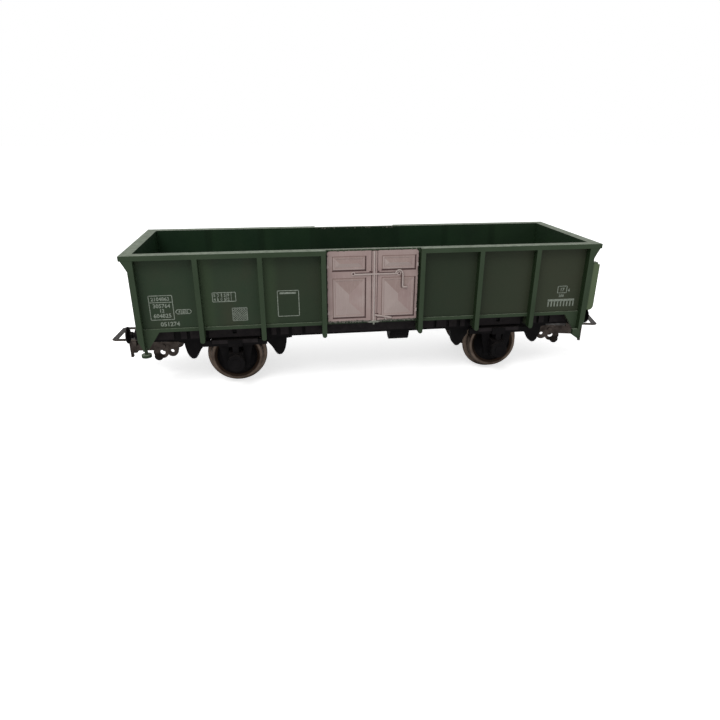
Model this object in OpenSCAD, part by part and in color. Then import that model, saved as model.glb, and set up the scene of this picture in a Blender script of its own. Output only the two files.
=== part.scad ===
// Open goods wagon with high sides and double side doors, a two-axle model in 1:87 scale.
// X runs along the wagon, Y across it and Z up. The origin lies midway between the axles,
// at the height of the lowest points of the wheels.

/* [Tub] */
// Length over the end walls
tub_l = 98.8; // [98:0.1:99]
// Width over the side sheets
tub_w = 27.9; // [27.4:0.1:28.2]
// Thickness of the side sheets and end walls
wall_t = 0.6; // [0.5:0.05:1]
// Length over the top rim
rim_l = 102.2; // [101.4:0.1:103]
// Width over the top rim and the ribs below it
rim_w = 31.3; // [30.9:0.1:31.8]
// Height of the top rim
rim_z = 31.2; // [29.4:0.1:33.4]
// Height of the floor's underside
floor_z = 14.7; // [14.5:0.05:14.9]
// Thickness of the floor
floor_t = 1.2; // [1:0.05:1.6]
// Width of a side rib
rib_w = 1; // [0.8:0.05:1.2]
// Height of the ribs' lower ends
rib_z = 12.2; // [11.9:0.1:12.6]

/* [Doors] */
// Width of a pair of doors
door_w = 19.7; // [18:0.1:20]
// Height of the doors' lower edge
door_z = 15.4; // [15.3:0.05:15.9]
// How far the doors stand out from the side sheet
door_proud = 0.65; // [0.4:0.05:0.9]

/* [Underframe] */
// Distance between the axles
wheelbase = 60.3; // [59:0.1:61]
// Distance from the centre line to the sole bars' outer faces
sole_y = 11.5; // [11.45:0.05:11.6]
// Height of the sole bars' lower edge
sole_z = 11.6; // [11.5:0.05:11.7]
// Distance between the two buffers of an end
buffer_gap = 20; // [19:0.1:21]
// Length over the buffers
buffer_l = 106.6; // [105.8:0.1:107.6]
// Height of the buffers
buffer_z = 12.9; // [12.8:0.05:13.2]
// Diameter of a buffer head
buffer_d = 3.7; // [3.5:0.1:4.1]

/* [Wheels] */
// Diameter of the tread
tread_d = 11.4; // [11:0.1:11.6]
// Depth of the flange
flange_h = 1; // [0.7:0.05:1.05]
// Distance between the backs of the two wheels on an axle
back_to_back = 14.4; // [14.2:0.05:14.5]
// Width of a tyre
tyre_w = 2.8; // [2.4:0.05:2.8]
// Clearance on the radius between an axle end and its bore
journal_play = 0.05; // [0.03:0.01:0.08]

/* [Couplers] */
// Distance from the wagon's middle to a coupler's pivot
pivot_x = 45; // [44.8:0.1:45.6]
// Distance from the pivot to the loop's outer edge
loop_reach = 13.2; // [12.6:0.1:14]
// Width over the loop
loop_w = 8.8; // [8.6:0.1:9.8]
// Angle at which the right coupler stands, seen from above
right_swing = -14; // [-16:1:16]
// Angle at which the left coupler stands, seen from above
left_swing = -5; // [-16:1:16]
// Distance by which the right coupler is drawn out in its slot
right_slack = 1.4; // [0:0.1:1.4]

/* [Hidden] */
$fn = 48;
eps = 0.01;            // overlap of shapes that are joined
fit = 0.02;            // gap between two pieces that are pressed or glued together

tub_x = tub_l / 2;
tub_y = tub_w / 2;
rim_x = rim_l / 2;
rim_y = rim_w / 2;
rim_t = 1;             // height of the rim's front edge
rib_x = [10.65, 23.7, 36.6];
bead_h = 0.7;          // strip along the lower edge of the side sheets
bead_t = 0.35;
post_x = 49.7;         // outer face of the corner posts
post_w = 1.2;
post_z = 11;           // lower end of the corner posts
step_z = 9.4;          // underside of the shunter's step
toe_z = 9;             // lower tip of a corner without a step
bay_x = rib_x[0] - rib_w / 2;
door_top = rim_z - 0.3;
door_seat = 0.25;      // depth of the doors' seat in the side sheet
cap_y = 14.45;         // rim width over the doors

deck_z = 13;           // underside of the chassis deck
deck_x = 48.2;
deck_y = 10.6;
well_r = 7.3;          // half length of a wheel well in the deck
weight_size = [44, 18, 0.95];
beam_t = 1.4;
beam_y = 12.4;
beam_z = 11.3;
stringer_y = [3.6, 4.4];
cross_x = [0, 17, 37.6];  // middles of the cross members under the deck
cross_y = 7.6;            // half length of a cross member
screw_x = 40;
screw_top = floor_z + 0.95;
screw_r = 0.8;

axle_x = wheelbase / 2;
tread_r = tread_d / 2;
flange_r = tread_r + flange_h;
axle_z = flange_r;
tyre_r = tread_r - 0.7;          // inner radius of a tyre
wheel_y = back_to_back / 2;      // back of a wheel
face_y = wheel_y + tyre_w;       // front of a wheel
axle_r = 1;
journal_r = 0.5;
journal_y = 12.4;                // end of an axle
guard_y = 11;                    // inner face of an axle guard
web_z = 12.1;                    // lower edge of the plates on the sole bars
sole_plates = [[-eps, 14.7], [15.4, 17.7], [18.4, 20.2], [21.1, 22.2],
               [37.6, 39.6], [40.3, 41.6], [43, 47.2]];
box_y = 14.6;                    // front of an axle box
shoe_y = [8, 9.6];               // inner and outer face of the brake hangers
lobe_shift = 0.8;                // how far the right brake lobes stand further out

plate_z = 7.9;         // underside of a coupler's top plate
plate_t = 0.5;
cheek_y = 2.6;         // inner face of a coupler's cheeks
pivot_r = 0.6;
pivot_top = deck_z - 0.2;
slot_l = 1.4;          // length of the slot in which a coupler slides on its pivot
slot_r = pivot_r + 0.06;
hinge_d = 6.8;         // distance from the pivot to the loop's hinge
hinge_z = 9.4;
hinge_r = 0.4;
rivet_x = 2.2;         // distance from the pivot to the rivet between the cheeks
rivet_z = 7.3;
loop_t = 0.4;          // thickness of the loop's strip
loop_end = 1.1;        // width of the loop's outer end
loop_arm = 0.7;        // width of the loop's arms

// A box between two corners, given as ranges
module block(x, y, z)
  translate([x[0], y[0], z[0]]) cube([x[1] - x[0], y[1] - y[0], z[1] - z[0]]);

// A plate that stands along the wagon: an outline in X and Z, between two values of Y
module side_plate(y)
  translate([0, y[1], 0]) rotate([90, 0, 0]) linear_extrude(y[1] - y[0]) children();

// A plate that stands across the wagon: an outline in Y and Z, between two values of X
module cross_plate(x)
  translate([x[0], 0, 0]) rotate([90, 0, 90]) linear_extrude(x[1] - x[0]) children();

// A round bar across the wagon between two values of Y
module cross_bar(r, y)
  translate([0, y[1], 0]) rotate([90, 0, 0]) cylinder(r = r, h = y[1] - y[0]);

module both_ends() for (s = [0, 1]) mirror([s, 0, 0]) children();
module both_sides() for (s = [0, 1]) mirror([0, s, 0]) children();
module all_corners() both_ends() both_sides() children();

// The corners at the front left and the rear right
module turned_pair() for (a = [0, 180]) rotate([0, 0, a]) children();

// ---- Tub -------------------------------------------------------------------------------

module rim_ring() difference() {
  block([-rim_x, rim_x], [-rim_y, rim_y], [rim_z - rim_t, rim_z]);
  both_sides() block([-bay_x, bay_x], [cap_y, rim_y + 1], [rim_z - rim_t - 1, rim_z + 1]);
}

// A rib with a round lower end, and the bracket that ties it to the sole bar
module side_rib() {
  side_plate([tub_y - eps, rim_y]) {
    translate([-rib_w / 2, rib_z + rib_w / 2])
      square([rib_w, rim_z - rim_t - rib_z - rib_w / 2 + eps]);
    translate([0, rib_z + rib_w / 2]) circle(d = rib_w);
  }
  cross_plate([-0.35, 0.35])
    polygon([[12.1, floor_z + eps], [rim_y - 0.4, floor_z + eps],
             [rim_y - 0.4, rib_z + 0.7], [12.1, rib_z + 0.2]]);
}

// Corner post with the flare that carries the rim's tip and the gusset at its foot
module corner_post() {
  block([post_x - post_w, post_x], [tub_y - wall_t, rim_y - 0.05], [floor_z, rim_z - rim_t + eps]);
  side_plate([rim_y - 1, rim_y - 0.05])
    polygon([[post_x - eps, rim_z - 3.2], [post_x + 0.5, rim_z - 2.1], [rim_x - 0.3, rim_z - rim_t + eps],
             [post_x - eps, rim_z - rim_t + eps]]);
  side_plate([tub_y - 0.6, rim_y - 0.05])
    polygon([[post_x - post_w, floor_z + eps], [post_x - post_w, post_z], [post_x - 0.75, post_z],
             [post_x - 0.75, 11.5], [post_x, 13.1], [post_x, floor_z + eps]]);
  side_plate([tub_y - 0.6, tub_y + bead_t])
    polygon([[post_x - 4.3, floor_z + eps], [post_x - 2.8, 12.5], [post_x - 1.9, 11.2],
             [post_x - 1.7, post_z], [post_x - 0.8, post_z], [post_x - 0.8, floor_z + eps]]);
}

// Toe of a corner that carries no step
module corner_toe()
  side_plate([-rim_y + 0.05, -rim_y + 0.75])
    polygon([[post_x - 2.5, post_z + 0.4], [post_x - 2.5, toe_z + 1.1], [post_x - 0.9, toe_z],
             [post_x - 0.35, toe_z], [post_x - 0.75, post_z + 0.4]]);

// Handhold bracket beside a corner post
module handhold()
  side_plate([-rim_y + 0.4, -rim_y + 1.6]) {
    translate([post_x - 0.2, 16.9]) square([2, 9.6]);
    translate([post_x - 0.2, 26.5 - eps]) square([1.5, 0.5]);
    translate([post_x + 0.8, 16.9]) circle(r = 1);
  }

// Shunter's step: a stem and a round tread
module shunter_step() translate([-post_x + 1.1, -rim_y + 1.2, 0]) {
  translate([0, 0, step_z]) cylinder(r = 1.05, h = 0.6);
  translate([0, 0, step_z + 0.3]) cylinder(r = 0.35, h = post_z - step_z);
}

module end_stanchion()
  block([tub_x - eps, rim_x - 0.35], [4.4, 5.6], [floor_z, rim_z - rim_t + eps]);

module wagon_body() color("darkolivegreen") difference() {
  union() {
    block([-tub_x, tub_x], [-tub_y, tub_y], [floor_z, rim_z]);
    rim_ring();
    all_corners() {
      block([bay_x, post_x - post_w + eps], [tub_y - eps, tub_y + bead_t], [floor_z, floor_z + bead_h]);
      for (x = rib_x) translate([x, 0, 0]) side_rib();
      corner_post();
      end_stanchion();
    }
    turned_pair() {
      shunter_step();
      corner_toe();
      handhold();
    }
  }
  block([wall_t - tub_x, tub_x - wall_t], [wall_t - tub_y, tub_y - wall_t], [floor_z + floor_t, rim_z + 1]);
  both_sides() block([-door_w / 2, door_w / 2], [tub_y - door_seat, tub_y + 1], [door_z, door_top]);
  both_ends() translate([screw_x, 0, floor_z - 1]) cylinder(r = screw_r + fit, h = screw_top - floor_z + 1);
}

// ---- Doors -----------------------------------------------------------------------------

// Two door leaves with four raised panels, the lock rod between them, the locking bar,
// its handle and the hinges
module door_pair() {
  front = tub_y + door_proud;
  half = door_w / 2 - fit;
  block([-half, half], [tub_y - door_seat + fit, front - 0.2], [door_z + fit, door_top - fit]);
  for (x = [[-half + 0.1, -0.15], [0.85, half - 0.1]])
    block(x, [front - 0.2 - eps, front - 0.1], [door_z + 0.1, door_top - 0.1]);
  block([0.1, 0.65], [front - 0.2 - eps, front], [floor_z + 0.1, door_top - 0.1]);
  for (x = [[-8.75, -1.65], [1.85, 9.15]]) {
    block(x, [front - 0.1 - eps, front], [16.3, 25.1]);
    block(x, [front - 0.1 - eps, front], [26.75, 29.8]);
  }
  block([-4.3, 5.8], [front - 0.1 - eps, front + 0.15], [25.6, 26.2]);
  block([5.8, 6.4], [front - 0.1 - eps, front + 0.15], [22.8, 26.2]);
  for (s = [-1, 1], z = [17.9, 27.8])
    translate([s * (half - 0.1), front - 0.1, z]) cylinder(r = 0.2, h = 0.9);
}

module door_front() color("rosybrown") rotate([0, 0, 180]) mirror([1, 0, 0]) door_pair();
module door_rear() color("rosybrown") mirror([1, 0, 0]) door_pair();

// ---- Chassis ---------------------------------------------------------------------------

module ballast_weight() color("slategray")
  translate([-weight_size.x / 2, -weight_size.y / 2, floor_z - weight_size.z])
    cube(weight_size);

module buffer_stock() translate([deck_x + beam_t, buffer_gap / 2, buffer_z]) {
  translate([-eps, -1.6, -1.5]) cube([0.4, 3.2, 3]);
  rotate([0, 90, 0]) cylinder(r = 1.3, h = 1.7);
}

module chassis_pan() color("dimgray") difference() {
  union() {
    block([-deck_x, deck_x], [-deck_y, deck_y], [deck_z, floor_z]);
    both_sides() block([-deck_x, deck_x], stringer_y, [deck_z - 1, deck_z + eps]);
    both_ends() {
      for (x = cross_x) block([x - 0.4, x + 0.4], [-cross_y, cross_y], [deck_z - 0.8, deck_z + eps]);
      block([deck_x - eps, deck_x + beam_t], [-beam_y, beam_y], [beam_z, floor_z]);
      translate([pivot_x, 0, plate_z + plate_t + 0.15])
        cylinder(r = 1.5, h = deck_z - plate_z - plate_t);
    }
    all_corners() buffer_stock();
  }
  translate([-weight_size.x / 2 - fit, -weight_size.y / 2 - fit, floor_z - weight_size.z - fit])
    cube([weight_size.x + 2 * fit, weight_size.y + 2 * fit, 2]);
  all_corners() {
    block([axle_x - well_r, axle_x + well_r], [wheel_y - 0.5, deck_y + 1], [deck_z - 1, floor_z + 1]);
    translate([deck_x + 0.3, buffer_gap / 2, buffer_z]) rotate([0, 90, 0]) cylinder(r = 0.6 + fit, h = 4);
  }
  both_ends() {
    translate([screw_x, 0, deck_z - 1]) cylinder(r = screw_r + 0.1, h = 4);
    translate([pivot_x, 0, plate_z]) cylinder(r = pivot_r + fit, h = pivot_top + 0.1 - plate_z);
  }
}

// Leaf spring with its hangers, its buckle and the round axle box, about the axle
module spring_and_box() {
  block([-4.9, 4.9], [guard_y + 0.8 - eps, 12.9], [10.9, 11.8]);
  block([-6.9, 6.9], [guard_y + 0.8 - eps, 12.7], [10.35, 11.6]);
  block([-1.55, 1.55], [guard_y + 0.8 - eps, 13.2], [10.2, 11.7]);
  block([-0.65, 0.65], [guard_y + 0.8 - eps, 13.3], [8.6, 10.3]);
  block([-1.6, 1.6], [guard_y + 0.8 - eps, 13.6], [4.8, 8.7]);
  translate([0, 0, axle_z]) {
    cross_bar(1.85, [13, box_y]);
    cross_bar(0.95, [13, box_y + 0.15]);
  }
}

// Axle guard: a plate that narrows downwards, with an opening on each side of the buckle
module axle_guard() side_plate([guard_y, guard_y + 0.8]) difference() {
  polygon([[-4.2, sole_z + eps], [-3.6, 9.8], [-2.7, 5.6], [-2.7, 4.6],
           [2.7, 4.6], [2.7, 5.6], [3.6, 9.8], [4.2, sole_z + eps]]);
  for (s = [-1, 1]) translate([s * 1.2 - 0.4, 8.8]) square([0.8, 1]);
}

// Sole bar with the plates on its outer face
module sole_bar() {
  block([-deck_x, deck_x], [deck_y, sole_y], [sole_z, floor_z - 0.05]);
  both_ends() {
    difference() {
      block([axle_x - 5.5, axle_x + 5.5], [sole_y - eps, 12], [web_z, floor_z - 0.1]);
      block([axle_x - 0.45, axle_x + 0.45], [sole_y + 0.1, 12.1], [12.9, 13.8]);
    }
    for (x = sole_plates) block(x, [sole_y - eps, 11.9], [web_z, floor_z - 0.1]);
  }
}

module side_frame() difference() {
  union() {
    sole_bar();
    both_ends() translate([axle_x, 0, 0]) {
      axle_guard();
      spring_and_box();
    }
  }
  both_ends() translate([axle_x, 0, axle_z])
    cross_bar(journal_r + journal_play, [guard_y - 1, journal_y + 0.3]);
}

module side_frame_front() color("dimgray") mirror([0, 1, 0]) side_frame();
module side_frame_rear() color("dimgray") side_frame();

// Brake hanger of one corner: the shoe's arch over the wheel, and a round-ended lobe that
// hangs clear of the wheel
module brake_hanger(shift) {
  side_plate([shoe_y[0], shoe_y[1]]) {
    polygon([[4.9, 11.6], [5.4, 11], [6.2, 10.3], [6.9, 9.7], [7.2, 9.4], [9, 9.1], [9, deck_z],
             [4.6, deck_z]]);
    translate([shift, 0]) polygon([
      [7.2, 9.4], [7.9, 8.5], [8.6, 7.2], [9, 6.65], [9.5, 6.45], [10, 6.55], [10.5, 7.1], [10.9, 8],
      [11.2, 9.4], [11.3, 10.4], [12.5, 10.55], [12.5, deck_z], [7.2, deck_z]]);
  }
}

// Brake gear about one axle, with its lobes moved along the wagon by shift
module brake_gear(shift) {
  both_sides() {
    brake_hanger(shift);
    mirror([1, 0, 0]) brake_hanger(-shift);
  }
  for (s = [-1, 1])
    translate([s * 9.4 + shift, 0, 8.6]) cross_bar(0.6, [-shoe_y[0] - 0.5, shoe_y[0] + 0.5]);
}

module brake_gear_left() color("dimgray") translate([-axle_x, 0, 0]) brake_gear(0);
module brake_gear_right() color("dimgray") translate([axle_x, 0, 0]) brake_gear(lobe_shift);

module brake_cylinder() color("dimgray") {
  block([5, 9.5], [-10, -5.2], [10.5, deck_z]);
  translate([5, -7.6, 10.5]) rotate([0, 90, 0]) cylinder(r = 2.1, h = 4.5);
  translate([9.5 - eps, -7.6, 10.5]) rotate([0, 90, 0]) cylinder(r = 0.4, h = 3);
}

module chassis_screws() color("silver") both_ends() translate([screw_x, 0, 0]) {
  translate([0, 0, deck_z]) cylinder(r = screw_r, h = screw_top - deck_z);
  difference() {
    translate([0, 0, deck_z - 0.9]) cylinder(r = 1.6, h = 0.9);
    translate([-2, -0.2, deck_z - 1]) cube([4, 0.4, 0.5]);
  }
}

module buffer(left, front) color("dimgray")
  mirror([left ? 1 : 0, 0, 0]) mirror([0, front ? 1 : 0, 0])
    translate([0, buffer_gap / 2, buffer_z]) rotate([0, 90, 0]) {
      translate([0, 0, deck_x + 0.4]) cylinder(r = 0.6, h = buffer_l / 2 - deck_x - 0.9);
      translate([0, 0, buffer_l / 2 - 0.75]) cylinder(r = buffer_d / 2, h = 0.75);
    }

// ---- Wheelsets -------------------------------------------------------------------------

module at_axle(left) translate([left ? -axle_x : axle_x, 0, axle_z]) children();

// A wheel faces outwards along +Y, or along -Y at the front
module wheel_side(front) mirror([0, front ? 1 : 0, 0]) rotate([-90, 0, 0]) children();

module axle(left) color("silver") at_axle(left) {
  cross_bar(axle_r, [-10.4, 10.4]);
  cross_bar(journal_r, [-journal_y, journal_y]);
}

module wheel_centre() rotate_extrude() polygon([
  [axle_r + fit, wheel_y - 0.1], [2.1, wheel_y - 0.1], [2.3, wheel_y + 0.9], [4.1, wheel_y + 0.7],
  [tyre_r - fit, wheel_y + 0.5], [tyre_r - fit, face_y - 0.3], [4.2, face_y - 0.5],
  [2.2, face_y - 0.7], [1.9, face_y + 0.2], [axle_r + fit, face_y + 0.2]]);

module tyre() rotate_extrude() polygon([
  [tyre_r, wheel_y], [flange_r - 0.25, wheel_y], [flange_r, wheel_y + 0.25],
  [flange_r - 0.1, wheel_y + 0.5], [tread_r + 0.1, wheel_y + 0.85],
  [tread_r, face_y], [tyre_r, face_y]]);

module wheel(left, front) color("black") at_axle(left) wheel_side(front) wheel_centre();
module wheel_tyre(left, front) color("rosybrown") at_axle(left) wheel_side(front) tyre();

// ---- Couplers --------------------------------------------------------------------------

// Puts a coupler, drawn with its slot ending on the Z axis and its hook along +X, at its end
module at_coupler(left)
  mirror([left ? 1 : 0, 0, 0]) translate([pivot_x, 0, 0])
    rotate([0, 0, left ? -left_swing : right_swing])
      translate([left ? 0 : right_slack, 0, 0]) children();

// Outline of a cheek with its two eyes and its lobe
module cheek_outline() difference() {
  union() {
    translate([-1.3, 6.3]) square([10.1, plate_z + plate_t - 6.3]);
    translate([0.2, 6.1]) circle(r = 1.35);
    translate([2.5, 5.7]) circle(r = 1.35);
    translate([3.5, 5.8]) circle(r = 1.1);
    translate([3.5, 4.75]) circle(r = 1);
  }
  translate([0.2, 6.1]) circle(r = 0.42);
  translate([2.5, 5.75]) circle(r = 0.62);
}

module coupler_body() difference() {
  union() {
    block([-slot_l - 1.3, 8.8], [-cheek_y - 0.5, cheek_y + 0.5], [plate_z, plate_z + plate_t]);
    both_sides() {
      side_plate([cheek_y, cheek_y + 0.5]) cheek_outline();
      side_plate([cheek_y, cheek_y + 0.5]) {
        translate([hinge_d, hinge_z]) circle(r = 0.8);
        translate([hinge_d - 0.8, plate_z]) square([1.6, hinge_z - plate_z]);
      }
      block([7.8, 8.6], [cheek_y, loop_w / 2], [plate_z, hinge_z - loop_t / 2 - 0.08]);
    }
    block([8.8 - eps, 10.8], [-0.7, 0.7], [plate_z, plate_z + plate_t]);
    block([9.2, 10.3], [-0.7, 0.7], [4.8, plate_z + eps]);
    block([10.3, 10.85], [-0.4, 0.4], [3.6, plate_z + plate_t + 0.4]);
  }
  for (x = [-slot_l, 0]) translate([x, 0, plate_z - 1]) cylinder(r = slot_r, h = 2);
  block([-slot_l, 0], [-slot_r, slot_r], [plate_z - 1, plate_z + 1]);
  translate([rivet_x, 0, rivet_z]) cross_bar(0.4 + fit, [-4, 4]);
  translate([hinge_d, 0, hinge_z]) cross_bar(hinge_r + 0.05, [-4, 4]);
}

// Loop: a flat strip bent to a U, with its two ends turned in as hinge pins
module coupler_loop_strip() {
  outer = loop_w / 2;
  z = [hinge_z - loop_t / 2, hinge_z + loop_t / 2];
  block([loop_reach - loop_end, loop_reach], [-outer + 0.5, outer - 0.5], z);
  both_sides() {
    translate([loop_reach - loop_end, outer - loop_end, z[0]]) intersection() {
      cylinder(r = loop_end, h = loop_t);
      cube([loop_end, loop_end, loop_t]);
    }
    block([hinge_d, loop_reach - loop_end + eps], [outer - loop_arm, outer], z);
    translate([hinge_d, 0, hinge_z]) {
      cross_bar(0.6, [outer - loop_arm, outer]);
      cross_bar(hinge_r, [cheek_y + 0.02, outer - loop_arm + eps]);
    }
  }
}

module coupler_rivet_pin() translate([rivet_x, 0, rivet_z]) {
  cross_bar(0.4, [-cheek_y - 0.5, cheek_y + 0.5]);
  both_sides() cross_bar(0.6, [cheek_y + 0.5, cheek_y + 0.7]);
}

module coupler(left) color("saddlebrown") at_coupler(left) coupler_body();
module coupler_loop(left) color("gray") at_coupler(left) coupler_loop_strip();
module coupler_rivet(left) color("silver") at_coupler(left) coupler_rivet_pin();

// Headed pin that holds a coupler up to the deck
module coupler_pivot(left) color("silver")
  mirror([left ? 1 : 0, 0, 0]) translate([pivot_x, 0, 0]) {
    translate([0, 0, plate_z - 0.6]) cylinder(r = 1, h = 0.5);
    translate([0, 0, plate_z - 0.2]) cylinder(r = pivot_r, h = pivot_top - plate_z + 0.2);
  }

// ---- The pieces ------------------------------------------------------------------------

wagon_body();
door_front();
door_rear();
ballast_weight();
chassis_pan();
side_frame_front();
side_frame_rear();
brake_gear_left();
brake_gear_right();
brake_cylinder();
chassis_screws();
buffer(true, true);  // buffer_left_front
buffer(true, false);  // buffer_left_rear
buffer(false, true);  // buffer_right_front
buffer(false, false);  // buffer_right_rear
axle(true);  // axle_left
wheel(true, true);  // wheel_left_front
wheel(true, false);  // wheel_left_rear
wheel_tyre(true, true);  // tyre_left_front
wheel_tyre(true, false);  // tyre_left_rear
axle(false);  // axle_right
wheel(false, true);  // wheel_right_front
wheel(false, false);  // wheel_right_rear
wheel_tyre(false, true);  // tyre_right_front
wheel_tyre(false, false);  // tyre_right_rear
coupler(true);  // coupler_left
coupler_loop(true);  // coupler_loop_left
coupler_rivet(true);  // coupler_rivet_left
coupler_pivot(true);  // coupler_pivot_left
coupler(false);  // coupler_right
coupler_loop(false);  // coupler_loop_right
coupler_rivet(false);  // coupler_rivet_right
coupler_pivot(false);  // coupler_pivot_right
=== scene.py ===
"""Open goods wagon in 1:87 scale: finishes, fine detail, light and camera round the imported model."""
import math

import bmesh
import bpy
from mathutils import Euler, Matrix, Vector


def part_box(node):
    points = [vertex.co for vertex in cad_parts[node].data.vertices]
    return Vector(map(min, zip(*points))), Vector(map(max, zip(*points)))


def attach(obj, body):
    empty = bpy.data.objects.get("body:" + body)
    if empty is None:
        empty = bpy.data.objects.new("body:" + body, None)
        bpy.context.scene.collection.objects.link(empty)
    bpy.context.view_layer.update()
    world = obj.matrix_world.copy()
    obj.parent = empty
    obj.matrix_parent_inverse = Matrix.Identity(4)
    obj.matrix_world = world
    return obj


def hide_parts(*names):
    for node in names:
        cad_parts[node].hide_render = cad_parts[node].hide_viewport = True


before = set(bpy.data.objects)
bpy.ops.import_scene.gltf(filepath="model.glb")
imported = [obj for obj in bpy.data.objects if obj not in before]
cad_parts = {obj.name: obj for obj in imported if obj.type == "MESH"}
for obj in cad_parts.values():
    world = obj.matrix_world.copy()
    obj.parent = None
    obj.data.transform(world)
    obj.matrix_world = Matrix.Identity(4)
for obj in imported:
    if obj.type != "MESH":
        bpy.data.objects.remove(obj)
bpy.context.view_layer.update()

MM = 0.001
ROOT = "wagon"
# Places on the wagon in millimetres
SHEET = 13.95                 # Y of the side sheets' outer faces
END = 49.4                    # X of the end walls' outer faces
LOAD_FLOOR = 15.9             # Z of the load floor
RIBS_X = (10.65, 23.7, 36.6)  # X of the side ribs' middles
AXLE_X, AXLE_Z = 30.15, 6.7
ROD_X = 0.3                   # X of the doors' lock rod


# ---- Node trees ------------------------------------------------------------------------

def linear(code):
    """An sRGB hex colour as linear RGBA."""
    parts = [int(code[i:i + 2], 16) / 255 for i in (1, 3, 5)]
    return [c / 12.92 if c <= 0.04045 else ((c + 0.055) / 1.055) ** 2.4 for c in parts] + [1.0]


# Kinds of node, each with its mode after a colon
TIMES, PLUS, LESS, OVER = "Math:MULTIPLY", "Math:ADD", "Math:SUBTRACT", "Math:DIVIDE"
SIZE, MOST, LEAST = "Math:ABSOLUTE", "Math:MAXIMUM", "Math:MINIMUM"
BAND = "MapRange:SMOOTHSTEP"  # value, low, high: rises smoothly from 0 at low to 1 at high
MIX = "Mix:RGBA"              # share, colour without it, colour with it
RAMP = "ValToRGB"
NOISE = "TexNoise"            # place, 1 / size of its features in mm, octaves, roughness
MODES = {"Math": "operation", "VectorMath": "operation", "MapRange": "interpolation_type",
         "Mix": "data_type"}


def add(tree, kind, *inputs, out=None, stops=(), **sockets):
    """Adds one node and returns the output named out, or else its first.

    Inputs fill the node's sockets in order, and sockets fill them by name. Each is a value, an sRGB
    hex colour or another node's output. Stops are a ramp's positions and colours.
    """
    kind, colon, mode = kind.partition(":")
    node = tree.nodes.new("ShaderNode" + kind)
    if colon:
        setattr(node, MODES[kind], mode)
    shown = [socket for socket in node.inputs if socket.enabled]
    fed = [*zip(shown, inputs)] + [(node.inputs[name], value) for name, value in sockets.items()]
    for socket, value in fed:
        if isinstance(value, bpy.types.NodeSocket):
            tree.links.new(value, socket)
        else:
            socket.default_value = linear(value) if isinstance(value, str) else value
    for _ in stops[2:]:
        node.color_ramp.elements.new(0.5)
    for number, (position, code) in enumerate(stops):
        node.color_ramp.elements[number].position = position
        node.color_ramp.elements[number].color = linear(code)
    return node.outputs[out] if out else next((socket for socket in node.outputs if socket.enabled), None)


def new_tree(owner):
    """Empties the node tree of a material or a world, and returns it."""
    owner.use_nodes = True
    owner.node_tree.nodes.clear()
    return owner.node_tree


def new_material(name):
    material = bpy.data.materials.new(name)
    return material, new_tree(material)


def millimetres(tree):
    """Object coordinates in millimetres, whole and as X, Y and Z."""
    place = add(tree, "VectorMath:SCALE", add(tree, "TexCoord", out="Object"), 1 / MM)
    return place, *(add(tree, "SeparateXYZ", place, out=axis) for axis in "XYZ")


def facing(tree, axis):
    """How far a face looks along an axis, from -1 to 1."""
    return add(tree, "SeparateXYZ", add(tree, "NewGeometry", out="Normal"), out=axis)


# ---- Finishes --------------------------------------------------------------------------

def surface(tree, colour, height=None, depth=0.0, **sockets):
    """Joins a colour, relief of so many millimetres and the rest to a shader and the output."""
    if height:
        sockets["Normal"] = add(tree, "Bump", Height=height, Distance=depth * MM, Strength=0.5)
    add(tree, "OutputMaterial", add(tree, "BsdfPrincipled", **{"Base Color": colour}, **sockets))


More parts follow.
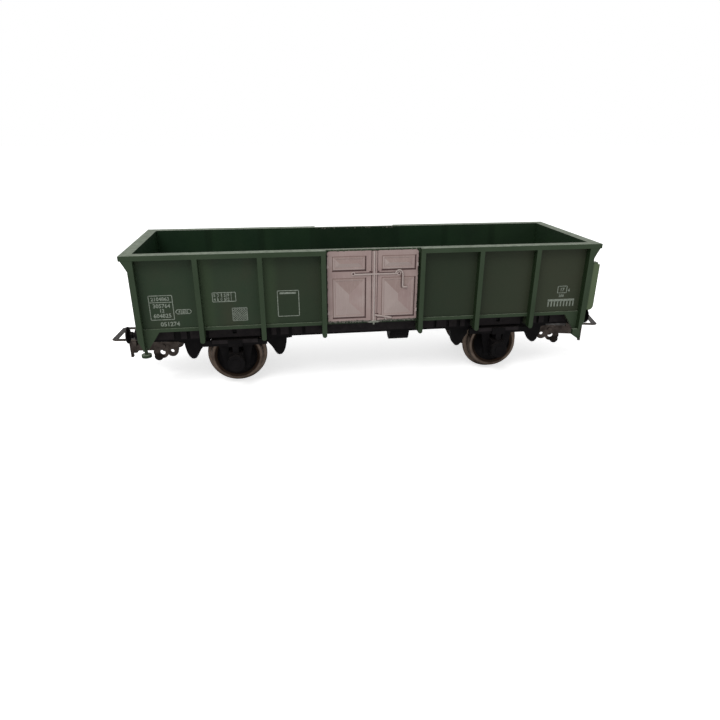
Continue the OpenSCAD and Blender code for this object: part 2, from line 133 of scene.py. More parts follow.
def moulded_green():
    """High-impact polystyrene, injection moulded in the colour: satin, with a fine spark-eroded
    grain, ribs and rim a little polished by handling, a deeper green inside as painted shade, and
    pale enamel that ran over the sill below the doors."""
    material, tree = new_material("moulded_green_polystyrene")
    place, x, y, z = millimetres(tree)
    side, along = add(tree, SIZE, y), add(tree, SIZE, x)
    looks_up = add(tree, BAND, facing(tree, "Z"), 0.3, 0.9)
    mottle = add(tree, NOISE, place, 1 / 7, 4)
    sheet = add(tree, RAMP, mottle, stops=[(0.3, "#2a3929"), (0.5, "#2e3a2b"), (0.7, "#33392b")])
    # The panel left of the doors is deeper in colour.
    by_doors = add(tree, TIMES, add(tree, BAND, x, -26, -20), add(tree, BAND, x, -9, -10.5))
    sheet = add(tree, MIX, add(tree, TIMES, by_doors, 0.6), sheet, "#2a3325")
    # The right half has browned, and more so towards the end.
    browned = add(tree, RAMP, add(tree, BAND, x, 14, 44), stops=[(0, "#283023"), (1, "#383b2e")])
    sheet = add(tree, MIX, add(tree, BAND, x, 9, 11, 0, 0.75), sheet, browned)
    # The left half is painted paler beside its ribs: painted light that lifts the shade next to them.
    left_half = add(tree, BAND, x, -8, -10.5)
    for rib in RIBS_X:
        off = add(tree, SIZE, add(tree, LESS, along, rib - 1.2))
        painted_light = add(tree, TIMES, add(tree, BAND, off, 2.8, 0.3), left_half)
        sheet = add(tree, MIX, painted_light, sheet, "#35432f")
    # Ribs and rim
    proud = add(tree, RAMP, mottle, stops=[(0.3, "#313e2d"), (0.7, "#374433")])
    on_rib = add(tree, MOST, add(tree, BAND, side, SHEET + 0.1, SHEET + 0.3),
                 add(tree, BAND, along, END + 0.1, END + 0.25))
    colour = add(tree, MIX, on_rib, sheet, proud)
    # Painted shade on the ribs' flanks, less of it on the left half
    painted_flank_shade = add(tree, TIMES, add(tree, BAND, add(tree, SIZE, facing(tree, "X")), 0.6, 0.9),
                add(tree, BAND, along, END + 0.2, END + 0.1))
    painted_flank_shade = add(tree, TIMES, painted_flank_shade, add(tree, BAND, side, SHEET + 0.01, SHEET + 0.07))
    painted_flank_shade = add(tree, TIMES, painted_flank_shade, add(tree, LESS, 0.85, add(tree, TIMES, left_half, 0.5)))
    colour = add(tree, MIX, painted_flank_shade, colour, "#1c2917")
    # The handholds on the ends are painted paler, as painted light.
    lit_handhold = add(tree, TIMES, add(tree, BAND, along, END + 0.35, END + 0.9), add(tree, BAND, z, 27.1, 26.6))
    lit_handhold = add(tree, TIMES, lit_handhold, add(tree, BAND, side, SHEET - 0.05, SHEET + 0.05))
    colour = add(tree, MIX, lit_handhold, colour, "#56634a")
    # The inside is painted a deeper green, as painted shade. Darker bands of painted shade lie behind
    # the ribs outside and the doors, where the thin sheets would let a little light through that these
    # stop.
    inner = add(tree, RAMP, mottle, stops=[(0.3, "#14281a"), (0.7, "#19321e")])
    within = add(tree, TIMES, add(tree, BAND, side, SHEET - 0.5, SHEET - 0.65),
                 add(tree, BAND, along, END - 0.5, END - 0.65))
    within = add(tree, TIMES, within, add(tree, BAND, z, LOAD_FLOOR - 0.9, LOAD_FLOOR - 0.5))
    colour = add(tree, MIX, within, colour, inner)
    shade = add(tree, BAND, along, 10.6, 10.2)
    for rib in RIBS_X:
        off = add(tree, SIZE, add(tree, LESS, along, rib))
        shade = add(tree, MOST, shade, add(tree, BAND, off, 1.3, 0.4, 0, 0.8))
    shade = add(tree, TIMES, shade, add(tree, TIMES, within, 0.45))
    colour = add(tree, MIX, shade, colour, "#0b130c")
    # The steps at the corners' feet are painted darker, as painted shade, and get none of the dusty
    # paling and painted sheen on top.
    foot = add(tree, BAND, z, 10.2, 9.2)
    colour = add(tree, MIX, add(tree, TIMES, foot, 0.6), colour, "#1c2a1b")
    # Faces that look up are paler: a dusty film, and a painted sheen standing for the reflection on the
    # rim's top.
    pale_on_top = add(tree, TIMES, looks_up, add(tree, NOISE, place, 1 / 1.2, 3))
    pale_on_top = add(tree, TIMES, pale_on_top, add(tree, LESS, 1, foot))
    colour = add(tree, MIX, add(tree, TIMES, pale_on_top, 0.72), colour, "#a5b09c")
    # Enamel on the sill below the doors, with a drip under the lock rod, and specks on the cap above
    ragged = add(tree, TIMES, add(tree, LESS, add(tree, NOISE, place, 1 / 0.45, 4, 0.7), 0.5), 1.6)
    at_doors = add(tree, TIMES, add(tree, BAND, along, 9.8, 9.6), add(tree, BAND, side, 13.6, 13.8))
    sill = add(tree, BAND, add(tree, PLUS, z, ragged), 14.9, 15.15)
    from_rod = add(tree, SIZE, add(tree, LESS, x, ROD_X))
    drip = add(tree, PLUS, add(tree, TIMES, from_rod, 0.5), add(tree, SIZE, add(tree, LESS, z, 14.9)))
    drip = add(tree, BAND, add(tree, PLUS, drip, add(tree, TIMES, ragged, 0.4)), 0.85, 0.6)
    smear = add(tree, TIMES, at_doors, add(tree, MOST, add(tree, TIMES, sill, 0.7), drip))
    smear = add(tree, TIMES, smear, add(tree, BAND, z, 16, 15.8))
    colour = add(tree, MIX, smear, colour, "#96908a")
    cap = add(tree, TIMES, add(tree, BAND, along, 10.2, 10), add(tree, BAND, z, 30.7, 30.9))
    specks = add(tree, TIMES, cap, add(tree, BAND, ragged, 0.05, 0.25, 0, 0.6))
    colour = add(tree, MIX, specks, colour, "#9a8f8a")
    # The real grain is about 0.05 mm and is drawn at 0.18 mm so that it shows. The load floor
    # has plank joints every 2.4 mm.
    joint = add(tree, BAND, add(tree, "Math:PINGPONG", x, 1.2), 0.12, 0.04)
    planks = add(tree, TIMES, joint, add(tree, TIMES, within, looks_up))
    grain = add(tree, LESS, add(tree, NOISE, place, 1 / 0.18, 2), add(tree, TIMES, planks, 8))
    gloss = add(tree, BAND, add(tree, NOISE, place, 1 / 2.5, 3), 0.2, 0.8, 0.38, 0.52)
    surface(tree, colour, grain, 0.012, Roughness=gloss, IOR=1.5, **{"Specular IOR Level": 0.12})
    return material


def moulded_black(name, plates=False):
    """Black moulded polystyrene: satin, with a grey, dusty film on what faces up. On the side frames
    the outward faces of the sole bars' plates and the springs' upper leaves are painted a browner
    black, as painted light, and the gaps and lower leaves keep the plain black, as painted shade."""
    material, tree = new_material(name)
    place, _, y, z = millimetres(tree)
    mottle = add(tree, NOISE, place, 1 / 2.2, 4)
    colour = add(tree, RAMP, mottle, stops=[(0.3, "#0b0a0b"), (0.7, "#141213")])
    if plates:
        # Painted light and shade: proud outward faces of plates and upper leaves lighter, gaps black.
        side = add(tree, SIZE, y)
        plate = add(tree, TIMES, add(tree, BAND, side, 11.65, 11.8), add(tree, BAND, z, 12.05, 12.2))
        leaf = add(tree, TIMES, add(tree, BAND, side, 12.78, 12.84), add(tree, BAND, side, 13.05, 12.95))
        leaf = add(tree, TIMES, leaf, add(tree, BAND, z, 10.88, 11))
        outwards = add(tree, BAND, add(tree, SIZE, facing(tree, "Y")), 0.6, 0.9)
        painted_light = add(tree, TIMES, add(tree, MOST, plate, leaf), outwards)
        lit_tone = add(tree, NOISE, place, 1 / 1.5, 4)
        lit_tone = add(tree, RAMP, lit_tone, stops=[(0.3, "#1c191a"), (0.7, "#292526")])
        colour = add(tree, MIX, painted_light, colour, lit_tone)
    looks_up = add(tree, BAND, facing(tree, "Z"), 0.2, 0.8)
    pale_on_top = add(tree, TIMES, looks_up, add(tree, NOISE, place, 1 / 0.7, 3))
    colour = add(tree, MIX, add(tree, TIMES, pale_on_top, 0.25), colour, "#453f3c")
    gloss = add(tree, BAND, add(tree, NOISE, place, 1 / 1.5), 0.2, 0.8, 0.36, 0.55)
    grain = add(tree, NOISE, place, 1 / 0.16, 2)
    surface(tree, colour, grain, 0.012, Roughness=gloss, IOR=1.5, **{"Specular IOR Level": 0.06})
    return material


def brushed_door_paint(name, highlight_share=0.0):
    """Matt enamel brushed over the moulding by hand: pinkish grey and thin at the edges, and with
    a highlight share paler all over, as a painted highlight on the raised fittings."""
    material, tree = new_material(name)
    place, x, _, z = millimetres(tree)
    cloud = add(tree, NOISE, place, 1 / 5, 3)
    colour = add(tree, RAMP, cloud, stops=[(0.3, "#947f7c"), (0.55, "#9b8884"), (0.75, "#a3938f")])
    # Slopes to the left and downwards are painted paler and slopes that look up browner: painted light
    # and shade on the facets.
    facet_light = add(tree, TIMES, add(tree, LEAST, facing(tree, "X"), facing(tree, "Z")), -1)
    colour = add(tree, MIX, add(tree, BAND, facet_light, 0, 0.09, 0, 0.36), colour, "#aaa19c")
    colour = add(tree, MIX, add(tree, BAND, facing(tree, "Z"), 0, 0.09, 0, 0.36), colour, "#7d6c64")
    # Upright brush marks, about 0.25 mm apart
    strokes = add(tree, NOISE, add(tree, "Mapping", place, Scale=(4, 4, 0.5)), 1, 3)
    colour = add(tree, MIX, add(tree, BAND, strokes, 0.45, 0.8, 0, 0.25), colour, "#b0a09c")
    # The paint stops short of the leaves' outer edges and of their feet away from the lock rod,
    # where the green shows in a ragged line.
    ragged = add(tree, TIMES, add(tree, LESS, add(tree, NOISE, place, 1 / 0.5, 4, 0.7), 0.5), 1.1)
    along = add(tree, SIZE, x)
    edge, height = add(tree, PLUS, along, ragged), add(tree, PLUS, z, ragged)
    bare = add(tree, MOST, add(tree, BAND, edge, 9.74, 9.9), add(tree, BAND, height, 30.85, 30.95))
    off_rod = add(tree, BAND, add(tree, SIZE, add(tree, LESS, along, ROD_X)), 1, 1.6)
    bare = add(tree, MOST, bare, add(tree, TIMES, off_rod, add(tree, BAND, height, 15.62, 15.45)))
    colour = add(tree, MIX, bare, colour, "#2c3526")
    # Painted highlight: the fittings' enamel is made paler all over.
    if highlight_share:
        colour = add(tree, MIX, highlight_share, colour, "#c4bbb6")
        colour = add(tree, MIX, add(tree, BAND, height, 15.6, 15.3), colour, "#82857b")
    gloss = add(tree, BAND, cloud, 0.2, 0.8, 0.55, 0.7)
    surface(tree, colour, strokes, 0.02, Roughness=gloss, IOR=1.5, **{"Specular IOR Level": 0.25})
    return material


def groove_dirt_and_shade():
    """Dirt and old varnish in the doors' grooves, with painted shade: darkest on faces that look down
    and to one side, as shade falls below and beside the panels."""
    material, tree = new_material("groove_dirt_and_painted_shade")
    shade_side = add(tree, LESS, add(tree, TIMES, facing(tree, "X"), 0.8), facing(tree, "Z"))
    patchy = add(tree, TIMES, add(tree, NOISE, millimetres(tree)[0], 1 / 0.8, 3), 0.5)
    dirt_and_shade_depth = add(tree, PLUS, add(tree, BAND, shade_side, -0.5, 0.5), add(tree, LESS, patchy, 0.2))
    colour = add(tree, RAMP, dirt_and_shade_depth, stops=[(0.1, "#77655f"), (0.45, "#5b4947"), (0.9, "#3f2f30")])
    surface(tree, colour, Roughness=0.7, **{"Specular IOR Level": 0.1})
    return material


def turned_metal(name, dark, light, roughness, seat=0.0):
    """Turned metal: fine rings about the axle, in a thin dull brown oxide. Within the radius `seat`,
    which the wheel's centre is pressed up to, it is dark brown, oxide deepened by painted shade, and
    it is painted darker towards the rail, as painted shade."""
    material, tree = new_material(name)
    place, x, y, z = millimetres(tree)
    across = add(tree, LESS, add(tree, SIZE, x), AXLE_X)
    up = add(tree, LESS, z, AXLE_Z)
    square = add(tree, PLUS, add(tree, TIMES, across, across), add(tree, TIMES, up, up))
    radius = add(tree, "Math:SQRT", square)
    # Rings 0.25 mm wide, much coarser than a real tool's, so that they show
    ring = add(tree, "CombineXYZ", add(tree, OVER, radius, 0.25), add(tree, OVER, y, 0.25))
    grain = add(tree, NOISE, ring, 1, 2)
    stain = add(tree, NOISE, place, 1 / 1.8, 4)
    colour = add(tree, RAMP, add(tree, MIX, 0.5, stain, grain), stops=[(0.35, dark), (0.65, light)])
    if seat:
        # Painted shade: dark brown within the seat, and darker towards the bottom by the rail.
        colour = add(tree, MIX, add(tree, BAND, radius, seat, seat - 0.08, 0, 0.9), colour, "#1f140d")
        colour = add(tree, MIX, add(tree, BAND, z, 2.6, 0.6, 0, 0.55), colour, "#2a211b")
    gloss = add(tree, BAND, stain, 0.2, 0.8, roughness - 0.08, roughness + 0.1)
    surface(tree, colour, grain, 0.01, Roughness=gloss, Metallic=1)
    return material


def stamped_metal(name, dark, light, roughness):
    """Sheet metal stamped and barrel-plated: cloudy stains, small scuffs, darker on faces that look
    up, and painted shade round the cheeks' outer lobes."""
    material, tree = new_material(name)
    place, x, _, z = millimetres(tree)
    stain = add(tree, NOISE, place, 1 / 1.6, 5, 0.6)
    colour = add(tree, RAMP, stain, stops=[(0.32, dark), (0.68, light)])
    along = add(tree, SIZE, x)
    # Painted shade round the cheeks' outer lobes; faces that look up are darkened too.
    shaded_lobe = add(tree, TIMES, add(tree, BAND, along, 47.2, 47.6), add(tree, BAND, along, 50.3, 49.9))
    shaded_lobe = add(tree, TIMES, shaded_lobe, add(tree, BAND, z, 6, 5.3, 0, 0.85))
    on_top = add(tree, TIMES, add(tree, BAND, facing(tree, "Z"), 0.3, 0.9), 0.7)
    colour = add(tree, MIX, add(tree, MOST, on_top, shaded_lobe), colour, "#1d1a18")
    scuffs = add(tree, NOISE, place, 1 / 0.7, 3)
    gloss = add(tree, BAND, scuffs, 0.2, 0.8, roughness - 0.1, roughness + 0.12)
    surface(tree, colour, add(tree, NOISE, place, 1 / 0.3, 3), 0.015, Roughness=gloss, Metallic=1)
    return material


def printed_ink():
    """Pad-printed ink: pale grey-green, a little broken up."""
    material, tree = new_material("pad_printed_ink")
    broken = add(tree, NOISE, millimetres(tree)[0], 1 / 0.35, 3)
    colour = add(tree, RAMP, broken, stops=[(0.35, "#656c62"), (0.6, "#868d82")])
    surface(tree, colour, Roughness=0.6, **{"Specular IOR Level": 0.25})
    return material


# ---- Shapes ----------------------------------------------------------------------------

def block(bm, x, y, z, bevel=0.0):
    """A closed box between pairs of millimetres, its edges rounded by bevel; returns its faces."""
    centre = Vector([(a + b) / 2 for a, b in (x, y, z)])
    size = [b - a for a, b in (x, y, z)]
    made = bmesh.ops.create_cube(bm, size=1, matrix=Matrix.LocRotScale(centre, None, Vector(size)))
    faces = list({f for v in made["verts"] for f in v.link_faces})
    if bevel:
        edges = list({e for v in made["verts"] for e in v.link_edges})
        cut = bmesh.ops.bevel(bm, geom=edges, offset=bevel, offset_type="OFFSET", affect="EDGES",
                              segments=2, profile=0.5, material=-1)
        faces = list({f for v in cut["verts"] for f in v.link_faces})
    return faces


def lathe(bm, outline, steps=96, closed=True):
    """Spins an outline of (radius, height) millimetres about the Z axis."""
    verts = [bm.verts.new((r, 0, h)) for r, h in outline]
    following = verts[1:] + verts[:1] if closed else verts[1:]
    edges = [bm.edges.new(pair) for pair in zip(verts, following)]
    bmesh.ops.spin(bm, geom=verts + edges, cent=(0, 0, 0), axis=(0, 0, 1),
                   angle=math.tau, steps=steps, use_merge=True)


def piece(name, bm, materials, body, slot, replaces=(), sharp=30):
    """Turns a bmesh drawn in millimetres into a finished piece that rides on a body."""
    bmesh.ops.remove_doubles(bm, verts=bm.verts, dist=1e-5)
    bmesh.ops.recalc_face_normals(bm, faces=bm.faces)
    # The operations leave corners and faces in a new order each run, so both are sorted.
    corners = sorted(bm.verts, key=lambda corner: [round(c, 4) for c in corner.co])
    place = {corner: i for i, corner in enumerate(corners)}
    faces = []
    for face in bm.faces:
        ring = [place[corner] for corner in face.verts]
        first = ring.index(min(ring))
        faces.append((ring[first:] + ring[:first], face.material_index))
    faces.sort()
    mesh = bpy.data.meshes.new(name)
    mesh.from_pydata([corner.co * MM for corner in corners], [], [ring for ring, _ in faces])
    bm.free()
    for material in materials:
        mesh.materials.append(material)
    mesh.polygons.foreach_set("material_index", [number for _, number in faces])
    mesh.polygons.foreach_set("use_smooth", [True] * len(mesh.polygons))
    mesh.set_sharp_from_angle(angle=math.radians(sharp))
    made = bpy.data.objects.new(name, mesh)
    bpy.context.scene.collection.objects.link(made)
    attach(made, body)
    if replaces:
        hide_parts(*replaces)
    return made


# ---- Carried-over pieces ---------------------------------------------------------------

def dress(node, material, round_edges=0.0):
    """Gives a CAD node its finish, and rounds its sharp edges by so many millimetres."""
    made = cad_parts[node]
    made.data.materials.clear()
    made.data.materials.append(material)
    if round_edges:
        weld = made.modifiers.new("weld", "WELD")
        weld.merge_threshold = 1e-6
        flat = made.modifiers.new("flat_faces", "DECIMATE")
        flat.decimate_type = "DISSOLVE"
        flat.angle_limit = math.radians(1)
        edge = made.modifiers.new("round_edges", "BEVEL")
        edge.width = round_edges * MM
        edge.segments = 2
        edge.limit_method = "ANGLE"
        edge.angle_limit = math.radians(40)
        edge.use_clamp_overlap = True


# ---- Doors -----------------------------------------------------------------------------

DOOR_FACE = -14.5             # Y of the leaves' frames, mm
LEAVES = ((-9.82, -0.39), (1.0, 9.82))
PANELS_X = ((-8.75, -1.65), (1.85, 9.15))
PANELS_Z = ((16.3, 25.1), (26.75, 29.8))
DOOR_Z = (15.44, 30.86)
# Rings of a panel from the leaf up: how far in from its edge, how far out from the leaf's face
PANEL_RINGS = ((0.0, -0.05), (0.03, 0.0), (0.15, 0.13), (0.5, 0.15), (0.62, 0.06))
RIDGE = 0.34                  # how far a panel's ridge stands out from the leaf's face, mm


def door_leaf(bm, x):
    """A flat leaf whose upper outer corner is rounded."""
    outer = max(x, key=abs)
    faces = block(bm, x, (DOOR_FACE, -13.7), DOOR_Z)
    corner = [e for e in {e for f in faces for e in f.edges}
              if all(abs(v.co.x - outer) < 0.01 and v.co.z > DOOR_Z[1] - 0.01 for v in e.verts)]
    bmesh.ops.bevel(bm, geom=corner, offset=0.6, offset_type="OFFSET", affect="EDGES", segments=3,
                    profile=0.5, material=-1)


def panel(bm, x, z):
    """A raised panel: edge in dirt and painted shade, flat moulding, step and a field of four slopes up
    to a ridge.
    """
    rings = []
    for inset, out in PANEL_RINGS:
        places = ((x[0] + inset, z[0] + inset), (x[1] - inset, z[0] + inset),
                  (x[1] - inset, z[1] - inset), (x[0] + inset, z[1] - inset))
        rings.append([bm.verts.new((px, DOOR_FACE - out, pz)) for px, pz in places])
    bm.faces.new(rings[0])
    for lower, upper, dirt_and_shade in zip(rings, rings[1:], (1, 1, 0, 0)):
        for i in range(4):
            face = bm.faces.new((lower[i - 1], lower[i], upper[i], upper[i - 1]))
            face.material_index = dirt_and_shade
    half = min(x[1] - x[0], z[1] - z[0]) / 2
    a = bm.verts.new((x[0] + half, DOOR_FACE - RIDGE, z[0] + half))
    b = bm.verts.new((x[1] - half, DOOR_FACE - RIDGE, z[1] - half))
    low_left, low_right, high_right, high_left = rings[-1]
    if x[1] - x[0] > z[1] - z[0]:
        slopes = ((high_left, low_left, a), (low_left, low_right, b, a),
                  (low_right, high_right, b), (high_right, high_left, a, b))
    else:
        slopes = ((low_left, low_right, a), (low_right, high_right, b, a),
                  (high_right, high_left, b), (high_left, low_left, a, b))
    for corners in slopes:
        bm.faces.new(corners)


def rod(bm, start, end, radius, steps=16):
    """A closed round bar between two points, its ends rounded over."""
    a, b = Vector(start), Vector(end)
    turn = (b - a).to_track_quat("Z", "Y").to_matrix().to_4x4()
    made = bmesh.ops.create_cone(bm, cap_ends=True, segments=steps, radius1=radius, radius2=radius,
                                 depth=(b - a).length, matrix=Matrix.Translation((a + b) / 2) @ turn)
    rims = [e for e in {e for v in made["verts"] for e in v.link_edges}
            if sum(len(f.verts) > 4 for f in e.link_faces) == 1]
    bmesh.ops.bevel(bm, geom=rims, offset=radius * 0.35, offset_type="OFFSET", affect="EDGES",
                    segments=2, profile=0.5, material=-1)


def door_fittings(bm):
    """Lock rod with its foot, locking bar with its pivots and hook, handle, latch and hinges."""
    rod(bm, (0.27, DOOR_FACE - 0.02, 14.5), (0.27, DOOR_FACE - 0.02, 30.7), 0.19)
    block(bm, (-0.75, 1.3), (DOOR_FACE - 0.1, DOOR_FACE + 0.3), (14.9, 15.2), 0.08)
    block(bm, (-0.2, 0.75), (DOOR_FACE - 0.2, DOOR_FACE + 0.3), (15.15, 15.5), 0.08)
    block(bm, (-4.2, 5.3), (DOOR_FACE - 0.22, DOOR_FACE + 0.1), (25.68, 25.98), 0.06)
    for x, z in ((-4.3, 26.0), (5.65, 25.85)):
        ring = Matrix.Translation((x, DOOR_FACE - 0.01, z)) @ Matrix.Rotation(math.radians(90), 4, "X")
        for radius, depth, dirt_and_shade in ((0.42, 0.4, 0), (0.22, 0.46, 1)):
            disc = bmesh.ops.create_cone(bm, cap_ends=True, segments=24, radius1=radius, radius2=radius,
                                         depth=depth, matrix=ring)
            for face in {f for v in disc["verts"] for f in v.link_faces}:
                face.material_index = dirt_and_shade
    bend = ((4.9, 0.1, 25.95), (5.25, 0.15, 26.45), (5.75, 0.2, 26.6), (6.2, 0.25, 26.4),
            (6.45, 0.3, 25.9), (6.45, 0.42, 22.9), (7.5, 0.42, 22.85))
    for (xa, out_a, za), (xb, out_b, zb) in zip(bend, bend[1:]):
        rod(bm, (xa, DOOR_FACE - out_a, za), (xb, DOOR_FACE - out_b, zb), 0.17)
    # A dark strip beside the handle is painted shade.
    for shade in block(bm, (6.08, 6.3), (DOOR_FACE - 0.38, DOOR_FACE + 0.1), (22.8, 25.6)):
        shade.material_index = 1
    rod(bm, (0.45, DOOR_FACE - 0.2, 16.72), (3.0, DOOR_FACE - 0.2, 16.22), 0.17)
    rod(bm, (3.0, DOOR_FACE - 0.2, 16.22), (4.2, DOOR_FACE - 0.2, 15.95), 0.2)
    rod(bm, (2.9, DOOR_FACE - 0.08, 15.45), (2.9, DOOR_FACE - 0.08, 16.3), 0.12)
    for side in (-1, 1):
        for z in (17.5, 27.7):
            pin = (side * 9.72, DOOR_FACE + 0.05)
            rod(bm, (*pin, z - 0.4), (*pin, z + 0.4), 0.2)


# Dark lines on the doors, as ranges of X and Z: dirt in the grooves and painted shade along the fittings
DIRT_AND_SHADE = (((-4.0, -0.15), (26.02, 26.18)), ((0.7, 5.2), (26.02, 26.18)), ((-0.8, -0.12), (26.25, 26.5)),
        ((0.68, 1.35), (26.25, 26.5)), ((0.65, 1.25), (16.8, 17.05)), ((2.6, 3.3), (16.4, 16.62)),
        ((1.0, 2.6), (15.95, 16.08)), ((3.3, 4.5), (15.94, 16.06)))


def door_set(front):
    """One side's pair of doors; the rear pair is the front one turned end for end."""
    side = "front" if front else "rear"
    turn = Matrix.Identity(4) if front else Matrix.Rotation(math.pi, 4, "Z")
    leaves = bmesh.new()
    for leaf, across in zip(LEAVES, PANELS_X):
        door_leaf(leaves, leaf)
        for up in PANELS_Z:
            panel(leaves, across, up)
    block(leaves, (-0.22, 0.84), (DOOR_FACE + 0.02, -13.8), (15.3, 30.8))
    block(leaves, (0.54, 0.86), (DOOR_FACE - 0.15, -13.8), (17.0, 30.8))
    dirt_and_shade = block(leaves, (-9.6, 9.6), (-14.25, -13.75), (15.5, 30.8))
    panels = [(x, z) for x in PANELS_X for z in PANELS_Z]
    # Strips along each panel's foot and right side are painted shadow.
    below = [((x[0] - 0.05, x[1] + 0.12), (z[0] - 0.24, z[0] + 0.02)) for x, z in panels]
    beside = [((x[1] - 0.02, x[1] + 0.16), (z[0] - 0.24, z[1])) for x, z in panels]
    for x, z in [*DIRT_AND_SHADE, *below, *beside]:
        dirt_and_shade += block(leaves, x, (DOOR_FACE - 0.03, DOOR_FACE + 0.1), z)
    for face in dirt_and_shade:
        face.material_index = 1
    leaves.transform(turn)
    piece(f"door_leaves_{side}", leaves, [DOOR_PAINT, GROOVE], ROOT, "door_paint",
          [f"door_{side}"], sharp=4)
    fittings = bmesh.new()
    door_fittings(fittings)
    fittings.transform(turn)
    piece(f"door_fittings_{side}", fittings, [HIGHLIGHT_PAINT, GROOVE], ROOT, "door_paint")


# ---- Wheels and buffers ----------------------------------------------------------------

def axle_place(left, front):
    """Puts a wheel, drawn about Z with its face up, on its axle with its face outwards."""
    turn = Matrix.Rotation(math.radians(90 if front else -90), 4, "X")
    return Matrix.Translation((-AXLE_X if left else AXLE_X, 0, AXLE_Z)) @ turn


# Sections of a tyre and a wheel's centre: radius, and Y outwards from the wagon's middle
TYRE = [(4.45, 7.2), (6.2, 7.2), (6.5, 7.24), (6.66, 7.36), (6.7, 7.52), (6.66, 7.66), (6.4, 7.8),
        (6.0, 7.92), (5.86, 8.05), (5.8, 8.3), (5.7, 9.75), (5.64, 9.9), (5.5, 9.98), (5.12, 9.98),
        (5.04, 9.94), (4.98, 9.82), (4.55, 9.72), (4.47, 9.68), (4.45, 9.6)]
CENTRE = [(1.02, 7.1), (2.0, 7.1), (2.15, 7.2), (2.3, 7.95), (2.5, 8.05), (4.0, 7.9), (4.3, 7.72),
          (4.43, 7.7), (4.43, 9.5), (4.4, 9.55), (4.3, 9.52), (4.15, 9.36), (3.9, 9.26), (2.7, 9.22),
          (2.3, 9.3), (2.1, 9.5), (2.0, 10.0), (1.9, 10.14), (1.7, 10.2), (1.02, 10.2)]


def wheel_pieces(left, front):
    end, side = "left" if left else "right", "front" if front else "rear"
    body = f"wheelset_{end}"
    for kind, outline, material, slot in (("tyre", TYRE, TYRE_METAL, "tyre_metal"),
                                          ("wheel", CENTRE, BLACK, "black_plastic")):
        bm = bmesh.new()
        lathe(bm, outline)
        bm.transform(axle_place(left, front))
        piece(f"{kind}_turned_{end}_{side}", bm, [material], body, slot, [f"{kind}_{end}_{side}"])


def buffer_piece(left, front):
    """Domed head on a stepped shank."""
    end, side = "left" if left else "right", "front" if front else "rear"
    low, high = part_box(f"buffer_{end}_{side}")
    inner, outer = sorted((abs(low.x) / MM, abs(high.x) / MM))
    head = (high.z - low.z) / 2 / MM
    outline = [(0, inner), (0.6, inner), (0.6, outer - 1.5), (0.75, outer - 1.4), (0.75, outer - 0.9),
               (1.2, outer - 0.7), (head - 0.15, outer - 0.62), (head, outer - 0.5), (head, outer - 0.3),
               (head - 0.2, outer - 0.18), (head * 0.6, outer - 0.05), (0, outer)]
    bm = bmesh.new()
    lathe(bm, outline, 48, closed=False)
    place = Matrix.Translation((0, (low.y + high.y) / 2 / MM, (low.z + high.z) / 2 / MM))
    bm.transform(place @ Matrix.Rotation(math.radians(-90 if left else 90), 4, "Y"))
    piece(f"buffer_head_{end}_{side}", bm, [BLACK], ROOT, "black_plastic", [f"buffer_{end}_{side}"])


# ---- Printed marks ---------------------------------------------------------------------

INK = 0.03                    # how far the ink stands off the sheet, mm
FRAMES = (((-46.75, -42.05), (17.35, 22.55)), ((-20.45, -15.95), (17.05, 22.68)),
          ((-33.9, -29.15), (20.8, 22.75)), ((42.95, 45.1), (19.85, 21.43)))
LINES = (((-46.6, -42.2), (21.03, 21.19)), ((-20.0, -16.5), (21.95, 22.35)),
         ((40.85, 47.3), (17.9, 18.4)))
# Text, X and Z of its lower left corner, and height
FIGURES = (("2104863", -46.35, 21.45, 0.78), ("305764", -46.1, 19.95, 0.85), ("12", -44.9, 18.95, 0.75),
           ("604825", -46.2, 17.8, 0.88), ("41805", -41.1, 18.68, 0.58), ("051274", -45.0, 15.9, 0.95),
           ("5 0 1 5 9", -33.7, 21.88, 0.66), ("4 1 0 5 2", -33.7, 20.98, 0.66),
           ("17", 43.45, 20.25, 0.8), ("4", 45.4, 20.1, 0.7), ("208", 43.35, 18.9, 0.6))


def bar(bm, start, end, width=0.16):
    """A flat bar of ink on the near side sheet between two points in X and Z."""
    a, b = Vector(start), Vector(end)
    across = Vector((a.y - b.y, b.x - a.x)).normalized() * width / 2
    corners = (a - across, b - across, b + across, a + across)
    rim = bm.faces.new([bm.verts.new((p.x, -SHEET + 0.05, p.y)) for p in corners])
    made = bmesh.ops.extrude_face_region(bm, geom=[rim])
    moved = [v for v in made["geom"] if isinstance(v, bmesh.types.BMVert)]
    bmesh.ops.translate(bm, vec=(0, -0.05 - INK, 0), verts=moved)


def patch(bm, x, z):
    bar(bm, (x[0], sum(z) / 2), (x[1], sum(z) / 2), z[1] - z[0])


def outline(bm, points):
    for a, b in zip(points, points[1:] + points[:1]):
        bar(bm, a, b)


def hatch(bm, x, z, step):
    """Crossed diagonal bars within a rectangle."""
    width, height = x[1] - x[0], z[1] - z[0]
    for i in range(1, int((width + height) / step)):
        reach = i * step
        low = (x[0] + min(reach, width), z[0] + max(reach - width, 0))
        high = (x[0] + max(reach - height, 0), z[0] + min(reach, height))
        bar(bm, low, high, 0.12)
        bar(bm, (sum(x) - low[0], low[1]), (sum(x) - high[0], high[1]), 0.12)


def figures(bm, text, x, z, height):
    """Plain figures, their lower left corner at x, z."""
    curve = bpy.data.curves.new("figures", "FONT")
    curve.body = text
    curve.size = height * 1.38
    curve.resolution_u = 2
    curve.offset = height * 0.035
    curve.extrude = INK
    holder = bpy.data.objects.new("figures", curve)
    solid = bpy.data.meshes.new_from_object(holder)
    solid.transform(Matrix.Translation((x, -SHEET, z)) @ Matrix.Rotation(math.radians(90), 4, "X"))
    bm.from_mesh(solid)
    bpy.data.objects.remove(holder)
    bpy.data.curves.remove(curve)
    bpy.data.meshes.remove(solid)


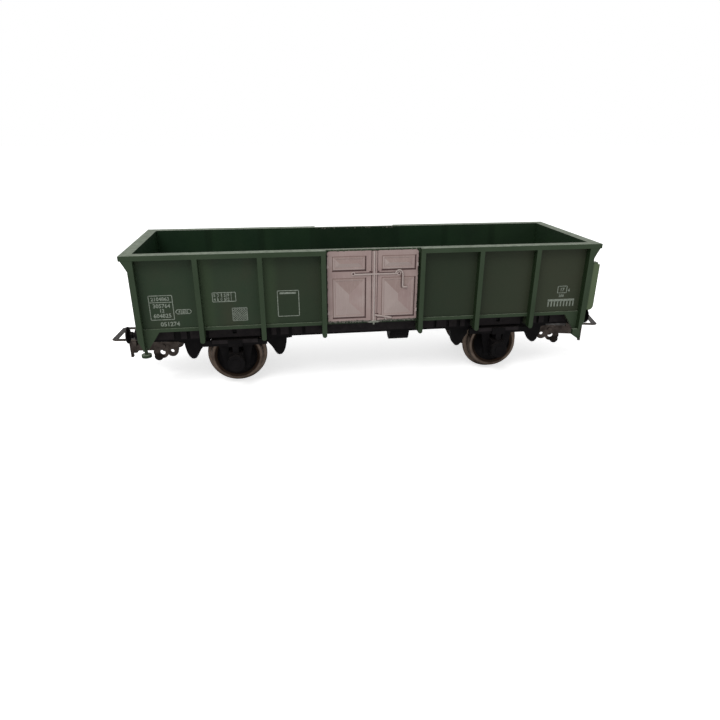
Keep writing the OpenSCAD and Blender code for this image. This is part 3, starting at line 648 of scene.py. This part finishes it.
def side_marks(front):
    """Weight boxes, a table, a chequer, a scale and figures; the same on both sides."""
    bm = bmesh.new()
    for x, z in FRAMES:
        outline(bm, [(x[0], z[0]), (x[1], z[0]), (x[1], z[1]), (x[0], z[1])])
    outline(bm, [(-41.7, 18.95), (-41.3, 18.5), (-38.8, 18.5), (-38.4, 18.95),
                 (-38.8, 19.4), (-41.3, 19.4)])
    for x, z in LINES:
        patch(bm, x, z)
    for i in range(1, 5):
        patch(bm, (-33.9 + 0.95 * i, -33.8 + 0.95 * i), (20.85, 22.7))
    outline(bm, [(-30.05, 16.5), (-27.0, 16.5), (-27.0, 19.3), (-30.05, 19.3)])
    hatch(bm, (-30.05, -27.0), (16.5, 19.3), 0.5)
    for i in range(9):
        patch(bm, (40.9 + 0.76 * i, 41.2 + 0.76 * i), (16.65, 17.95))
    for mark in FIGURES:
        figures(bm, *mark)
    if not front:
        bm.transform(Matrix.Rotation(math.pi, 4, "Z"))
    piece(f"printed_marks_{'front' if front else 'rear'}", bm, [INK_PRINT], ROOT, "green_plastic")


# ---- Assembly --------------------------------------------------------------------------

GREEN = moulded_green()
BLACK = moulded_black("moulded_black_polystyrene")
FRAME_BLACK = moulded_black("black_polystyrene_painted_light", plates=True)
DOOR_PAINT = brushed_door_paint("brushed_grey_enamel")
HIGHLIGHT_PAINT = brushed_door_paint("grey_enamel_painted_highlight", 0.35)
GROOVE = groove_dirt_and_shade()
TYRE_METAL = turned_metal("turned_brown_zinc_alloy", "#463b34", "#7d6f64", 0.42, seat=5.0)
BRIGHT = turned_metal("turned_dull_steel", "#5d5853", "#7b756e", 0.38)
COUPLER = stamped_metal("stamped_browned_steel", "#36302d", "#574f4a", 0.45)
LOOP = stamped_metal("stamped_nickel_silver", "#453f39", "#5e564f", 0.4)
WEIGHT = stamped_metal("sheared_sheet_steel", "#6d6a66", "#8d8984", 0.45)
INK_PRINT = printed_ink()

dress("wagon_body", GREEN, 0.1)
for node in ("chassis_pan", "brake_gear_left", "brake_gear_right", "brake_cylinder"):
    dress(node, BLACK, 0.08)
for node in ("side_frame_front", "side_frame_rear"):
    dress(node, FRAME_BLACK, 0.08)
dress("ballast_weight", WEIGHT, 0.05)
dress("chassis_screws", BRIGHT)
for end in ("left", "right"):
    dress(f"axle_{end}", BRIGHT)
    dress(f"coupler_{end}", COUPLER, 0.06)
    dress(f"coupler_loop_{end}", LOOP, 0.06)
    dress(f"coupler_rivet_{end}", COUPLER, 0.08)
    dress(f"coupler_pivot_{end}", BRIGHT, 0.08)
for front in (True, False):
    door_set(front)
    side_marks(front)
    for left in (True, False):
        wheel_pieces(left, front)
        buffer_piece(left, front)


# ---- Floor, light and camera -----------------------------------------------------------

def pale_floor():
    """Matt white board: the camera sees it nearly white, its shadow kept."""
    material, tree = new_material("matt_white_board")
    grain = add(tree, NOISE, millimetres(tree)[0], 1 / 3)
    board = add(tree, "BsdfDiffuse", add(tree, RAMP, grain, stops=[(0.3, "#e6e6e6"), (0.7, "#eaeaea")]))
    lit = add(tree, "AddShader", board, add(tree, "Emission", "#ffffff", 0.68))
    seen = add(tree, "LightPath", out="Is Camera Ray")
    add(tree, "OutputMaterial", add(tree, "MixShader", seen, board, lit))
    bm = bmesh.new()
    bmesh.ops.create_grid(bm, x_segments=1, y_segments=1, size=1.5)
    mesh = bpy.data.meshes.new("floor")
    bm.to_mesh(mesh)
    bm.free()
    mesh.materials.append(material)
    floor = bpy.data.objects.new("floor", mesh)
    bpy.context.scene.collection.objects.link(floor)


def white_surround(strength):
    """An even white room, seen as pure white behind the model."""
    world = bpy.data.worlds.new("white_room")
    bpy.context.scene.world = world
    tree = new_tree(world)
    seen = add(tree, "LightPath", out="Is Camera Ray")
    light, white = (add(tree, "Background", "#ffffff", power) for power in (strength, 1))
    add(tree, "OutputWorld", add(tree, "MixShader", seen, light, white))


def soft_box(name, place, aim, size, power):
    """A square lamp that points at aim."""
    lamp = bpy.data.lights.new(name, "AREA")
    lamp.size = size
    lamp.energy = power
    made = bpy.data.objects.new(name, lamp)
    turn = (Vector(aim) - Vector(place)).to_track_quat("-Z", "Y")
    made.matrix_world = Matrix.Translation(place) @ turn.to_matrix().to_4x4()
    bpy.context.scene.collection.objects.link(made)


pale_floor()
white_surround(0.65)
soft_box("key_light", (-0.25, -0.35, 0.55), (0, 0, 0.01), 0.35, 2.0)

lens = bpy.data.cameras.new("camera")
lens.lens = 28.161
lens.sensor_width = 36.0
lens.clip_start = 0.001
lens.clip_end = 10.0
camera = bpy.data.objects.new("camera", lens)
aim = Euler([math.radians(a) for a in (67.326, 0, -8.548)]).to_matrix()
roll = Matrix.Rotation(math.radians(0.258), 3, "Z")
camera.matrix_world = Matrix.Translation((-0.02023, -0.13081, 0.05521)) @ (aim @ roll).to_4x4()
bpy.context.scene.collection.objects.link(camera)
bpy.context.scene.camera = camera
bpy.context.scene.view_settings.view_transform = "Standard"
